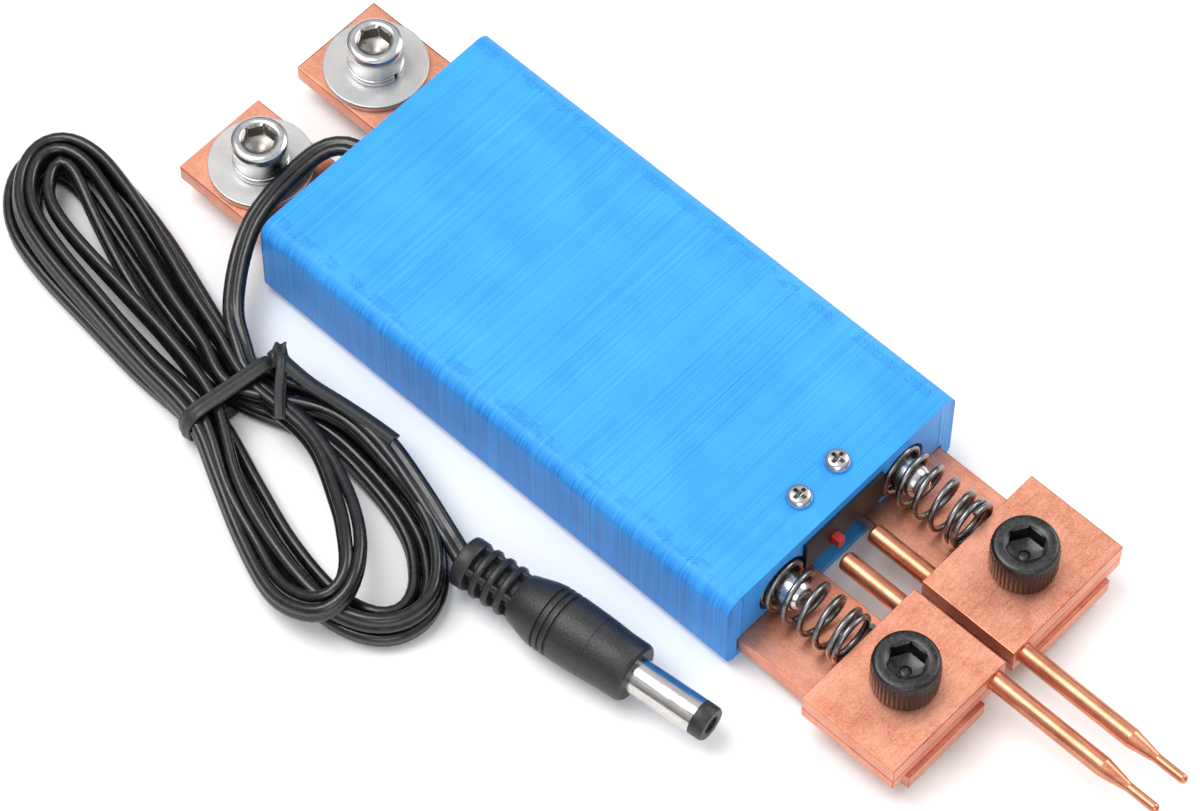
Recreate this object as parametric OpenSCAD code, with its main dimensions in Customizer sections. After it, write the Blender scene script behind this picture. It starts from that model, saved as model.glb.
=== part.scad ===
// Hand-held battery spot-welding pen: two sprung copper electrodes on a slim plastic case,
// two ring-lug terminals at the back, a trigger switch between the springs, and a power lead.
// +X points to the electrode tips, +Y to the far side, +Z up; the base lies on z = 0.

/* [Case] */
// Length of the case
case_l = 92; // [84:1:110]
// Width of the case
case_w = 48; // [47:0.5:60]
// Height of the case
case_h = 16.5; // [16.5:0.5:22]
// Thickness of the side and top walls
wall = 2; // [1.6:0.2:2.4]
// Thickness of the floor
floor_t = 1.4; // [1:0.1:1.4]
// Radius of the long top edges
top_r = 2.5; // [1:0.5:4]
// Radius of the long bottom edges
bottom_r = 2; // [1:0.5:3]
// Thickness of the front wall
front_wall = 3; // [2.6:0.2:4]

/* [Sliding bars and clamps] */
// Width of each sliding bar
bar_w = 16; // [14:0.5:16]
// Thickness of each sliding bar
bar_t = 3; // [2:0.5:3]
// Distance from the middle plane to the inner edge of a sliding bar
bar_inner = 5.5; // [5.5:0.1:6]
// Distance from the case to the clamps
clamp_gap_x = 14.4; // [13:0.2:16]
// Length of the clamps along the pen
clamp_l = 17; // [14:0.5:20]
// Width of each clamp
clamp_w = 23.6; // [22:0.2:25]
// Gap between the two clamps
clamp_gap_y = 1.6; // [1:0.2:2.4]
// Thickness of the lower clamp plate
lower_plate_t = 2.2; // [2:0.1:2.6]
// Thickness of the upper clamp plate
upper_plate_t = 3; // [2.8:0.1:4]
// How far the electrodes can be pressed in
travel = 2.5; // [1.5:0.1:2.5]

/* [Electrodes] */
// Diameter of the electrode rods
rod_d = 3; // [2.5:0.1:3]
// Distance between the two electrodes
rod_pitch = 6.1; // [5.8:0.1:6.6]
// Distance from the case to the electrode tips
tip_reach = 61; // [58:1:70]
// Diameter of the ground tips
tip_d = 1.5; // [1:0.1:1.6]
// Length of the thin part of each tip
tip_l = 5.3; // [3:0.1:7]
// Length of the taper behind each tip
taper_l = 4.5; // [3:0.1:6]

/* [Springs] */
// Outer diameter of the springs
spring_d = 8.5; // [8:0.1:8.5]
// Diameter of the spring wire
wire_d = 1; // [0.9:0.05:1.2]
// Number of turns
spring_turns = 6.5; // [5.5:0.5:7.5]
// Diameter of the guide studs inside the springs
guide_d = 5; // [4:0.1:5]
// How far a guide stud stands out of the front wall
guide_out = 5; // [3:0.5:7]

/* [Rear terminals] */
// Width of each terminal bar
tab_w = 16.5; // [15:0.5:17]
// Thickness of each terminal bar
tab_t = 3; // [2:0.5:3]
// How far the terminal bars stand out of the case
tab_out = 21; // [18:1:28]
// Distance between the two terminal screws
terminal_pitch = 24.2; // [24:0.2:26]
// Distance from the end of a terminal bar to its screw
terminal_edge = 8.8; // [8.4:0.1:10]

/* [Trigger switch] */
// Length of the switch across the pen
switch_l = 16.4; // [15:0.2:16.4]
// Depth of the switch along the pen
switch_depth = 10.2; // [9:0.2:12]
// Height of the switch
switch_h = 6.4; // [6:0.1:6.4]
// Distance between the two switch screws
switch_pitch = 8; // [7:0.5:9.5]

/* [Cord and plug] */
// Width of the flat twin cord
cord_w = 3.2; // [2.8:0.1:3.6]
// Diameter of the plug's moulded body
plug_d = 9.1; // [8.6:0.1:10]
// Length of the moulded body with its strain relief
plug_l = 30.6; // [28:0.2:34]
// Diameter of the plug's metal barrel
barrel_d = 5.5; // [5.5:0.1:5.5]
// Length of the metal barrel outside the body
barrel_l = 10.8; // [9:0.1:11]

/* [Hidden] */
$fn = 48;
// ends of the pen and of the case along X
total_l = tab_out + case_l + tip_reach;
tab_end = -total_l / 2;
case_back = tab_end + tab_out;
case_front = case_back + case_l;
tip_x = total_l / 2;
wall_back = case_front - front_wall;
cavity_top = case_h - wall;
cavity_y = case_w / 2 - wall;
// heights of the stack on each sliding bar
bar_z = floor_t + 0.3;
bar_top = bar_z + bar_t;
seam_z = bar_top + lower_plate_t;
clamp_top_z = seam_z + upper_plate_t;
rod_r = rod_d / 2;
rod_y = rod_pitch / 2;
rod_z = seam_z + 0.8;
// clamps and their screws
clamp_x = case_front + clamp_gap_x;
clamp_front = clamp_x + clamp_l;
clamp_y = clamp_gap_y / 2 + clamp_w / 2;
clamp_screw_x = clamp_x + clamp_l / 2;
m6_r = 3;
m6_head_r = 5;
m6_head_h = 5.9;
m6_key = 5;
// sliding bars
bar_back = case_back + 70;
bar_front = clamp_front + 0.6;
bar_y = bar_inner + bar_w / 2;
slot_gap = 0.3;
stop_x = wall_back - 2.4;
stop_y = 19.2;
stop_r = 2;
stop_top = bar_top + 2.3;
// springs and their guides
spring_y = clamp_y;
spring_z = bar_top + spring_d / 2 + 0.35;
spring_seat = case_front - 1.5;
spring_len = clamp_x - spring_seat;
coil_steps = 14;
coil_sides = 6;
// rear terminals
tab_z = 4;
tab_top = tab_z + tab_t;
tab_y = terminal_pitch / 2 + 0.2;
terminal_x = tab_end + terminal_edge;
terminal_y = terminal_pitch / 2;
washer_r = 8;
washer_t = 1.2;
lock_t = 1.2;
m5_r = 2.5;
m5_head_r = 4.3;
m5_head_h = 5;
m5_key = 4;
near_tab_front = case_back + 24;
far_tab_front = case_back + 65;
// board and what is on it
board_back = case_back + 4;
board_front = case_back + 65.5;
board_z = 2.4;
board_t = tab_z - board_z;
board_y = 21;
board_screw_x = [board_back + 3, board_front - 3];
board_screw_y = 0;
fet_w = 6.6;
fet_l = 6.1;
fet_h = 2.4;
fet_x = near_tab_front + 2.2;
fet_step_x = 8.4;
fet_y = -16.4;
fet_step_y = 8.2;
bus_x = near_tab_front + 27.5;
braid_w = 12;
braid_t = 1.2;
braid_arc_x = (far_tab_front + bar_back) / 2 - 0.5;
braid_inner_r = 2.9;
// trigger switch
switch_front = case_front + 0.6;
switch_back = switch_front - switch_depth;
switch_z = cavity_top - 0.1 - switch_h;
switch_screw_x = case_front - 4.8;
window_y = switch_l / 2 + 0.2;
plunger_out = 1.4;
plunger_l = 3.6;
plunger_w = 1.3;
plunger_h = 1.8;
plunger_y = -2.2;
plunger_z = 9.7;
plunger_gap = 0.2;
rod_back = switch_front + plunger_out + 1.4;
// cord exit, sized for the flat cord
exit_y = -2;
exit_z = 11;
grommet_r = 3;
core_r = 0.6;
core_pitch = 1.5;
cord_r = 1.2;
cord_sides = 8;
// route of the lead from the case to the tie, and of the tail from the hank to the plug
lead_route = [[-66.9, -2, 11], [-69.5, -2.7, 10.9], [-71.4, -4.6, 10.7], [-72.2, -7.4, 10.4],
              [-72.3, -11.5, 10], [-72, -16, 9.7], [-71, -21.2, 8.8], [-68, -27, 7.6], [-63.5, -32.6, 6.6]];
tail_route = [[-15.4, -37.4, 5], [-13, -38.2, 5.2], [-10.8, -38.9, 5.2]];
// hank: end circles and waist, as [x, y, radius]
hank_back = [-96, -37.8, 11.8];
hank_waist = [-54.5, -42.7, 8.4];
hank_front = [-23, -47.4, 12.6];
hank_h = 7.4;
tie_w = 1.8;
tie_t = 1;
tie_strap_t = 0.5;
tie_turn = atan2(hank_front[1] - hank_back[1], hank_front[0] - hank_back[0]);
// plug: where its strain relief starts, and its direction
plug_at = [-10.8, -38.9, 5.2];
plug_turn = 6;
plug_bulge_r = 5.1;
plug_rib_r = 3.9;
plug_groove_r = 2.3;
plug_tip_l = 2.3;
plug_bore_r = 1.05;

// colours
case_blue = [0.22, 0.62, 0.95];
copper = [0.85, 0.55, 0.42];
black_oxide = [0.12, 0.12, 0.13];
spring_steel = [0.3, 0.3, 0.32];
stainless = [0.78, 0.78, 0.8];
black_plastic = [0.08, 0.08, 0.08];

// ---- helpers ----

// a box from its lowest corner to its highest corner
module block(low, high) {
  translate(low) cube(high - low);
}

// a shaft or bore along X
module rod_x(x, y, z, r, l) {
  translate([x, y, z]) rotate([0, 90, 0]) cylinder(r = r, h = l);
}

// a shaft or bore along Z
module rod_z_axis(x, y, z, r, l) {
  translate([x, y, z]) cylinder(r = r, h = l);
}

// an insulated wire with round corners through the points p, flat at both ends
module wire(p, r) {
  for (i = [0 : len(p) - 2]) {
    d = p[i + 1] - p[i];
    translate(p[i]) rotate([0, acos(d[2] / norm(d)), atan2(d[1], d[0])]) cylinder(r = r, h = norm(d));
  }
  for (i = [1 : len(p) - 2]) translate(p[i]) sphere(r = r);
}

// extrude an outline drawn in Y and Z along +X
module along_x(x, l) {
  translate([x, 0, 0]) rotate([90, 0, 90]) linear_extrude(height = l) children();
}

// extrude an outline drawn in X and Z across Y, centred
module across_y(y, w) {
  translate([0, y + w / 2, 0]) rotate([90, 0, 0]) linear_extrude(height = w) children();
}

// case outline in Y and Z with rounded long edges
module case_outline(w, z0, z1, rt, rb) {
  union() {
    translate([-w / 2, z0 + rb]) square([w, z1 - z0 - rt - rb]);
    translate([-w / 2 + rt, z1 - rt]) square([w - 2 * rt, rt]);
    translate([-w / 2 + rb, z0]) square([w - 2 * rb, rb]);
    for (s = [-1, 1]) {
      translate([s * (w / 2 - rt), z1 - rt]) circle(r = rt);
      translate([s * (w / 2 - rb), z0 + rb]) circle(r = rb);
    }
  }
}

// a smooth curve through hand-chosen points
function spline_point(p, i, t) =
  let (n = len(p), a = p[max(i - 1, 0)], b = p[i], c = p[min(i + 1, n - 1)], d = p[min(i + 2, n - 1)])
  0.5 * (2 * b + (c - a) * t + (2 * a - 5 * b + 4 * c - d) * t * t + (3 * b - a - 3 * c + d) * t * t * t);
function spline(p, steps) = concat(
  [for (i = [0 : len(p) - 2]) for (k = [0 : steps - 1]) spline_point(p, i, k / steps)],
  [p[len(p) - 1]]);

function unit(v) = v / norm(v);
function tangent(p, i) = unit(p[min(i + 1, len(p) - 1)] - p[max(i - 1, 0)]);
// one ring of points round the curve at point i, kept clear of twist by a fixed reference
function ring(p, i, r, sides, ref) =
  let (t = tangent(p, i), u = unit(cross(ref, t)), v = cross(t, u))
  [for (k = [0 : sides - 1]) p[i] + r * (cos(360 * k / sides) * u + sin(360 * k / sides) * v)];

// a closed tube swept along a curve
module sweep(p, r, sides, ref) {
  n = len(p);
  points = [for (i = [0 : n - 1]) for (q = ring(p, i, r, sides, ref)) q];
  skin = [for (i = [0 : n - 2]) for (k = [0 : sides - 1]) for (half = [0, 1])
    let (a = i * sides + k, b = i * sides + (k + 1) % sides)
    half == 0 ? [a, b + sides, b] : [a, a + sides, b + sides]];
  first = [for (k = [0 : sides - 1]) k];
  last = [for (k = [sides - 1 : -1 : 0]) (n - 1) * sides + k];
  polyhedron(points = points, faces = concat([first], skin, [last]), convexity = 8);
}

// cap screw pointing down, head top at z = head_h, shank below z = 0
module cap_screw(shank_r, shank_l, head_r, head_h, key, key_depth) {
  difference() {
    union() {
      cylinder(r = head_r, h = head_h - 0.4);
      translate([0, 0, head_h - 0.4]) cylinder(r1 = head_r, r2 = head_r - 0.4, h = 0.4);
      translate([0, 0, -shank_l]) cylinder(r = shank_r, h = shank_l + 0.1);
    }
    translate([0, 0, head_h - key_depth]) cylinder(d = key / cos(30), h = key_depth + 1, $fn = 6);
  }
}

// mirrored copy for the near side: s = -1 near, s = 1 far
module side(s) {
  if (s > 0) children();
  else mirror([0, 1, 0]) children();
}

// ---- case ----

module front_cuts() {
  for (s = [-1, 1]) side(s) {
    block([wall_back - 1, bar_inner - slot_gap, floor_t],
          [case_front + 1, bar_inner + bar_w + slot_gap, bar_top + slot_gap]);
    rod_x(spring_seat, spring_y, spring_z, spring_d / 2 + 0.45, 3);
    rod_x(wall_back - 1, spring_y, spring_z, guide_d / 2, front_wall + 2);
  }
  block([wall_back - 1, -window_y, floor_t], [case_front + 1, window_y, cavity_top]);
}

module case() {
  color(case_blue) union() {
    difference() {
      along_x(case_back, case_l) case_outline(case_w, 0, case_h, top_r, bottom_r);
      along_x(case_back - 1, wall_back - case_back + 1)
        case_outline(2 * cavity_y, floor_t, cavity_top, 1, 1);
      front_cuts();
      for (y = [-1, 1] * switch_pitch / 2)
        rod_z_axis(switch_screw_x, y, cavity_top - 1, 1.1, wall + 2);
      for (x = board_screw_x) rod_z_axis(x, board_screw_y, -0.1, 1.1, floor_t + 1);
    }
    for (s = [-1, 1]) side(s) {
      // rail that guides the sliding bar
      block([case_back + 68, bar_inner - slot_gap - 1.2, floor_t - 0.1],
            [wall_back - 4.8, bar_inner - slot_gap, bar_top]);
      // corner post for the rear cover screw
      difference() {
        block([case_back + wall, cavity_y - 4.6, cavity_top - 4.4],
              [case_back + wall + 8, cavity_y + 0.1, cavity_top + 0.1]);
        rod_x(case_back + wall - 1, cavity_y - 2.6, cavity_top - 2.4, 0.85, 8);
      }
    }
    // low posts under the board
    for (x = board_screw_x) difference() {
      rod_z_axis(x, board_screw_y, floor_t - 0.1, 2.6, board_z - floor_t + 0.1);
      rod_z_axis(x, board_screw_y, -0.1, 1.1, board_z + 1);
    }
  }
}

module rear_cover() {
  color(case_blue) difference() {
    along_x(case_back, wall) case_outline(2 * cavity_y - 0.2, floor_t + 0.1, cavity_top - 0.1, 0.9, 0.9);
    for (s = [-1, 1]) side(s) {
      block([case_back - 1, tab_y - tab_w / 2 - 0.2, tab_z - 0.2],
            [case_back + wall + 1, tab_y + tab_w / 2 + 0.2, tab_top + 0.2]);
      rod_x(case_back - 1, cavity_y - 2.6, cavity_top - 2.4, 1, wall + 2);
    }
    rod_x(case_back - 1, exit_y, exit_z, grommet_r, wall + 2);
  }
}

module rear_cover_screws() {
  color(stainless) for (s = [-1, 1]) side(s)
    translate([case_back, cavity_y - 2.6, cavity_top - 2.4]) rotate([0, -90, 0]) difference() {
      union() {
        cylinder(r = 1.75, h = 1);
        translate([0, 0, -7]) cylinder(r = 0.8, h = 7.1);
      }
      translate([-1.2, -0.2, 0.5]) cube([2.4, 0.4, 1]);
      translate([-0.2, -1.2, 0.5]) cube([0.4, 2.4, 1]);
    }
}

// ---- board ----

module control_board() {
  color([0.1, 0.35, 0.2]) difference() {
    block([board_back, -board_y, board_z], [board_front, board_y, tab_z]);
    for (x = board_screw_x) rod_z_axis(x, board_screw_y, board_z - 1, 1.1, board_t + 2);
  }
}

module board_screws() {
  color(stainless) for (x = board_screw_x) translate([x, board_screw_y, tab_z]) union() {
    cylinder(r = 1.9, h = 1.3);
    translate([0, 0, 0.4 - tab_z]) cylinder(r = 1, h = tab_z);
  }
}

module terminal_bar(s, front) {
  color(copper) side(s) difference() {
    block([tab_end, tab_y - tab_w / 2, tab_z], [front, tab_y + tab_w / 2, tab_top]);
    rod_z_axis(terminal_x, terminal_y, tab_z - 1, m5_r + 0.05, tab_t + 2);
  }
}

module terminal_screw(s) {
  color(stainless) translate([terminal_x, s * terminal_y, tab_top + washer_t + lock_t])
    cap_screw(m5_r, tab_t + washer_t + lock_t, m5_head_r, m5_head_h, m5_key, 2.6);
}

module lock_washer(s) {
  color(stainless) translate([terminal_x, s * terminal_y, tab_top + washer_t]) difference() {
    cylinder(r = m5_head_r, h = lock_t);
    translate([0, 0, -1]) cylinder(r = m5_r + 0.1, h = lock_t + 2);
    translate([0, -0.3, -1]) cube([10, 0.6, lock_t + 2]);
  }
}

module plain_washer(s) {
  color(stainless) translate([terminal_x, s * terminal_y, tab_top]) difference() {
    cylinder(r = washer_r, h = washer_t);
    translate([0, 0, -1]) cylinder(r = m5_r + 0.15, h = washer_t + 2);
  }
}

module transistors() {
  color(black_plastic) for (i = [0 : 2]) for (j = [0 : 1])
    translate([fet_x + i * fet_step_x, fet_y + j * fet_step_y - fet_w / 2, tab_z])
      union() {
        translate([0, 0, 0.5]) cube([fet_l, fet_w, fet_h - 0.5]);
        translate([-1, 0.5, 0]) cube([fet_l, fet_w - 1, 0.6]);
        for (y = [0.9, fet_w - 1.7]) translate([fet_l - 0.1, y, 0]) cube([1.3, 0.8, 1]);
      }
}

module front_bus() {
  color(copper) block([bus_x, -tab_y - tab_w / 2, tab_z], [far_tab_front, tab_w / 2 - tab_y, tab_top]);
}

module capacitor() {
  color([0.15, 0.2, 0.45]) rod_z_axis(case_back + 18, 0, tab_z, 3.15, 7.7);
}

module control_chip() {
  color(black_plastic) translate([case_back + 30, 0, tab_z]) union() {
    translate([-2.5, -2, 0.2]) cube([5, 4, 1.4]);
    for (x = [-1.9, -0.63, 0.63, 1.9]) translate([x - 0.2, -3, 0]) cube([0.4, 6, 0.3]);
  }
}

module regulator() {
  color(black_plastic) translate([case_back + 42, 0, tab_z]) union() {
    translate([-2.2, -1.3, 0.1]) cube([4.4, 2.6, 1.4]);
    translate([-1, -2.2, 0]) cube([2, 4.4, 0.3]);
  }
}

module braid(s) {
  color(copper) across_y(s * bar_y, braid_w) union() {
    difference() {
      translate([braid_arc_x, tab_top]) circle(r = braid_inner_r + braid_t);
      translate([braid_arc_x, tab_top]) circle(r = braid_inner_r);
      translate([braid_arc_x - 10, tab_top - 20]) square([20, 20]);
    }
    translate([braid_arc_x - 12, tab_top]) square([12 - braid_inner_r - 0.3, braid_t]);
    translate([braid_arc_x + braid_inner_r, bar_top]) square([braid_t, tab_top - bar_top + 0.05]);
    translate([braid_arc_x + braid_inner_r, bar_top]) square([7, braid_t]);
  }
}

// ---- trigger switch ----

module switch_body() {
  color(black_plastic) difference() {
    block([switch_back, -switch_l / 2, switch_z], [switch_front, switch_l / 2, switch_z + switch_h]);
    for (y = [-1, 1] * switch_pitch / 2) rod_z_axis(switch_screw_x, y, switch_z - 1, 1.1, switch_h + 2);
    block([switch_front - plunger_l - 0.2, plunger_y - plunger_w / 2 - plunger_gap,
           plunger_z - plunger_h / 2 - plunger_gap],
          [switch_front + 1, plunger_y + plunger_w / 2 + plunger_gap,
           plunger_z + plunger_h / 2 + plunger_gap]);
  }
}

module switch_plunger() {
  color([0.8, 0.08, 0.08])
    block([switch_front + plunger_out - plunger_l, plunger_y - plunger_w / 2, plunger_z - plunger_h / 2],
          [switch_front + plunger_out, plunger_y + plunger_w / 2, plunger_z + plunger_h / 2]);
}

module switch_terminals() {
  color(stainless) for (y = [-6, 0, 6])
    block([switch_back - 4, y - 0.25, switch_z + 1.6], [switch_back, y + 0.25, switch_z + 4.8]);
}

module switch_screws() {
  color(stainless) for (y = [-1, 1] * switch_pitch / 2) translate([switch_screw_x, y, case_h])
    difference() {
      union() {
        cylinder(r = 2, h = 0.7);
        translate([0, 0, 0.7]) cylinder(r1 = 2, r2 = 1.2, h = 0.6);
        translate([0, 0, -10.4]) cylinder(r = 1, h = 10.5);
      }
      translate([-1, -0.2, 0.6]) cube([2, 0.4, 1]);
      translate([-0.2, -1, 0.6]) cube([0.4, 2, 1]);
    }
}

module switch_nuts() {
  color(stainless) for (y = [-1, 1] * switch_pitch / 2) translate([switch_screw_x, y, switch_z - 1.6])
    difference() {
      cylinder(d = 4.6, h = 1.6, $fn = 6);
      translate([0, 0, -1]) cylinder(r = 1.02, h = 4);
    }
}

module switch_wires() {
  z = switch_z + 3.2;
  color([0.75, 0.1, 0.1]) {
    wire([[switch_back - 4, 0, z], [-12, 0, z], [-12, 0, tab_z]], core_r);
    wire([[switch_back - 4, 6, z], [-8, 6, z], [-8, 2.6, z], [-8, 2.6, tab_z]], core_r);
  }
}

// ---- springs and sliding carriages ----

module spring_guide(s) {
  color(stainless) side(s) translate([0, spring_y, spring_z]) union() {
    rod_x(wall_back - 1.8, 0, 0, 4, 1.8);
    rod_x(wall_back - 0.1, 0, 0, guide_d / 2, front_wall + guide_out - guide_d / 2 + 0.1);
    translate([case_front + guide_out - guide_d / 2, 0, 0]) sphere(r = guide_d / 2);
  }
}

closed_pitch = wire_d + 0.05;
open_pitch = (spring_len - wire_d - 2 * closed_pitch) / (spring_turns - 2);
// distance along the spring after u turns, with one closed turn at each end
function coil_rise(u) = u < 1 ? u * closed_pitch
  : u > spring_turns - 1 ? spring_len - wire_d - (spring_turns - u) * closed_pitch
  : closed_pitch + (u - 1) * open_pitch;
function coil_point(u) =
  let (r = spring_d / 2 - wire_d / 2)
  [spring_seat + wire_d / 2 + coil_rise(u), r * cos(360 * u - 90), r * sin(360 * u - 90)];

module spring(s) {
  turns_path = [for (i = [0 : spring_turns * coil_steps]) coil_point(i / coil_steps)];
  color(spring_steel) side(s) translate([0, spring_y, spring_z])
    sweep(turns_path, wire_d / 2, coil_sides, [1, 0, 0]);
}

module slide_bar(s) {
  color(copper) side(s) difference() {
    block([bar_back, bar_inner, bar_z], [bar_front, bar_inner + bar_w, bar_top]);
    rod_z_axis(clamp_screw_x, clamp_y, bar_z - 1, m6_r + 0.05, bar_t + 2);
    rod_z_axis(stop_x, stop_y, bar_z - 1, stop_r, bar_t + 2);
  }
}

module clamp_plate(s, z0, z1) {
  color(copper) side(s) difference() {
    block([clamp_x, clamp_gap_y / 2, z0], [clamp_front, clamp_gap_y / 2 + clamp_w, z1]);
    rod_z_axis(clamp_screw_x, clamp_y, z0 - 1, m6_r + 0.2, z1 - z0 + 2);
    rod_x(clamp_x - 1, rod_y, rod_z, rod_r, clamp_l + 2);
  }
}

module clamp_screw(s) {
  color(black_oxide) translate([clamp_screw_x, s * clamp_y, clamp_top_z])
    cap_screw(m6_r, clamp_top_z - bar_z - 0.3, m6_head_r, m6_head_h, m6_key, 3.2);
}

module electrode(s) {
  body_l = tip_x - tip_l - taper_l - rod_back;
  color(copper) translate([rod_back, s * rod_y, rod_z]) rotate([0, 90, 0]) union() {
    cylinder(r1 = rod_r - 0.3, r2 = rod_r, h = 0.3);
    translate([0, 0, 0.3]) cylinder(r = rod_r, h = body_l - 0.3);
    translate([0, 0, body_l]) cylinder(r1 = rod_r, r2 = tip_d / 2, h = taper_l);
    translate([0, 0, body_l + taper_l]) cylinder(r = tip_d / 2, h = tip_l - tip_d / 2);
    translate([0, 0, body_l + taper_l + tip_l - tip_d / 2]) sphere(r = tip_d / 2);
  }
}

module stop_pin(s) {
  color(stainless) side(s) rod_z_axis(stop_x, stop_y, bar_z + 0.2, stop_r, stop_top - bar_z - 0.2);
}

// ---- power cord ----

module inlet_wires() {
  color(black_plastic) for (w = [-1, 1])
    wire([[case_back - 0.9, exit_y + w * core_pitch / 2, exit_z],
          [case_back + 10, exit_y + w * core_pitch / 2, exit_z],
          [case_back + 10, exit_y + w * core_pitch / 2, tab_z]], core_r);
}

module cord_grommet() {
  color(black_plastic) difference() {
    union() {
      rod_x(case_back, exit_y, exit_z, grommet_r - 0.05, wall + 1);
      rod_x(case_back - 0.9, exit_y, exit_z, grommet_r + 0.4, 0.9);
    }
    for (w = [-1, 1]) rod_x(case_back - 2, exit_y + w * core_pitch / 2, exit_z, core_r, wall + 5);
  }
}

module cord_lead() {
  color(black_plastic) sweep(spline(lead_route, 2), cord_r, cord_sides, [0, 0, 1]);
}

module cord_tail() {
  color(black_plastic) sweep(spline(tail_route, 2), cord_r, cord_sides, [0, 0, 1]);
}

// outline of a bundle between two circles given as [x, y, radius]
module bundle_outline(a, b) {
  d = [b[0] - a[0], b[1] - a[1]];
  n = [-d[1], d[0]] / norm(d);
  union() {
    translate([a[0], a[1]]) circle(r = a[2]);
    translate([b[0], b[1]]) circle(r = b[2]);
    polygon([[a[0], a[1]] + n * a[2], [a[0], a[1]] - n * a[2],
             [b[0], b[1]] - n * b[2], [b[0], b[1]] + n * b[2]]);
  }
}

module cord_hank() {
  color(black_plastic) linear_extrude(height = hank_h) union() {
    bundle_outline(hank_back, hank_waist);
    bundle_outline(hank_waist, hank_front);
  }
}

module cord_tie() {
  half = hank_waist[2] + tie_t;
  color([0.05, 0.05, 0.05]) translate([hank_waist[0], hank_waist[1], 0]) rotate([0, 0, tie_turn])
    union() {
      difference() {
        block([-tie_w / 2, -half, 0], [tie_w / 2, half, hank_h + tie_t]);
        block([-tie_w, -half + tie_t, tie_strap_t], [tie_w, half - tie_t, hank_h]);
      }
      block([-1.8, half - 2.2, hank_h + tie_t - 0.2], [2.2, half + 0.6, hank_h + tie_t + 1.8]);
    }
}

// ---- plug ----

module plug_body() {
  ribs = 3;
  rib_step = 2.2;
  ribs_start = 3.5;
  cone_start = 9.9;
  bulge_start = 14;
  bulge_end = 19;
  front_start = 27;
  color(black_plastic) translate(plug_at) rotate([0, 0, plug_turn]) rotate([0, 90, 0]) difference() {
    union() {
      cylinder(r = plug_rib_r, h = 2.5);
      cylinder(r = plug_groove_r, h = cone_start + 0.5);
      for (i = [0 : ribs - 1]) translate([0, 0, ribs_start + i * rib_step])
        cylinder(r = plug_rib_r, h = 1.3);
      translate([0, 0, cone_start])
        cylinder(r1 = plug_rib_r - 0.1, r2 = plug_bulge_r, h = bulge_start - cone_start);
      translate([0, 0, bulge_start]) cylinder(r = plug_bulge_r, h = bulge_end - bulge_start);
      translate([0, 0, bulge_end])
        cylinder(r1 = plug_bulge_r, r2 = plug_d / 2, h = front_start - bulge_end);
      translate([0, 0, front_start]) cylinder(r = plug_d / 2, h = plug_l - front_start);
    }
    translate([0, 0, plug_l - 6]) cylinder(r = barrel_d / 2 - 0.35, h = 10);
  }
}

module plug_barrel() {
  color(stainless) translate(plug_at) rotate([0, 0, plug_turn]) rotate([0, 90, 0])
    translate([0, 0, plug_l]) difference() {
      cylinder(r = barrel_d / 2, h = barrel_l);
      translate([0, 0, -1]) cylinder(r = barrel_d / 2 - 0.35, h = barrel_l + 2);
    }
}

module plug_insulator() {
  color(black_plastic) translate(plug_at) rotate([0, 0, plug_turn]) rotate([0, 90, 0])
    difference() {
      union() {
        translate([0, 0, plug_l - 6]) cylinder(r = barrel_d / 2 - 0.35, h = barrel_l + 6);
        translate([0, 0, plug_l + barrel_l]) cylinder(r = barrel_d / 2 - 0.3, h = plug_tip_l);
      }
      translate([0, 0, plug_l - 5]) cylinder(r = plug_bore_r + 0.3, h = barrel_l + plug_tip_l + 6);
    }
}

module plug_contact() {
  color([0.8, 0.65, 0.3]) translate(plug_at) rotate([0, 0, plug_turn]) rotate([0, 90, 0])
    translate([0, 0, plug_l - 5]) difference() {
      cylinder(r = plug_bore_r + 0.3, h = barrel_l + plug_tip_l + 4.4);
      translate([0, 0, 1]) cylinder(r = plug_bore_r, h = barrel_l + plug_tip_l + 6);
    }
}

case();
rear_cover();
rear_cover_screws();
control_board();
board_screws();
terminal_bar(-1, near_tab_front);  // near_terminal_bar
terminal_bar(1, far_tab_front);  // far_terminal_bar
terminal_screw(-1);  // near_terminal_screw
terminal_screw(1);  // far_terminal_screw
lock_washer(-1);  // near_lock_washer
lock_washer(1);  // far_lock_washer
plain_washer(-1);  // near_washer
plain_washer(1);  // far_washer
transistors();
front_bus();
capacitor();
control_chip();
regulator();
switch_body();
switch_plunger();
switch_terminals();
switch_screws();
switch_nuts();
switch_wires();
spring_guide(-1);  // near_spring_guide
spring_guide(1);  // far_spring_guide
spring(-1);  // near_spring
spring(1);  // far_spring
slide_bar(-1);  // near_slide_bar
slide_bar(1);  // far_slide_bar
clamp_plate(-1, bar_top, seam_z);  // near_clamp_lower
clamp_plate(1, bar_top, seam_z);  // far_clamp_lower
clamp_plate(-1, seam_z, clamp_top_z);  // near_clamp_upper
clamp_plate(1, seam_z, clamp_top_z);  // far_clamp_upper
clamp_screw(-1);  // near_clamp_screw
clamp_screw(1);  // far_clamp_screw
electrode(-1);  // near_electrode
electrode(1);  // far_electrode
stop_pin(-1);  // near_stop_pin
stop_pin(1);  // far_stop_pin
braid(-1);  // near_braid
braid(1);  // far_braid
inlet_wires();
cord_grommet();
cord_lead();
cord_hank();
cord_tail();
cord_tie();
plug_body();
plug_barrel();
plug_insulator();
plug_contact();
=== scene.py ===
import math

import bmesh
import bpy
from mathutils import Matrix, Quaternion, Vector


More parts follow.
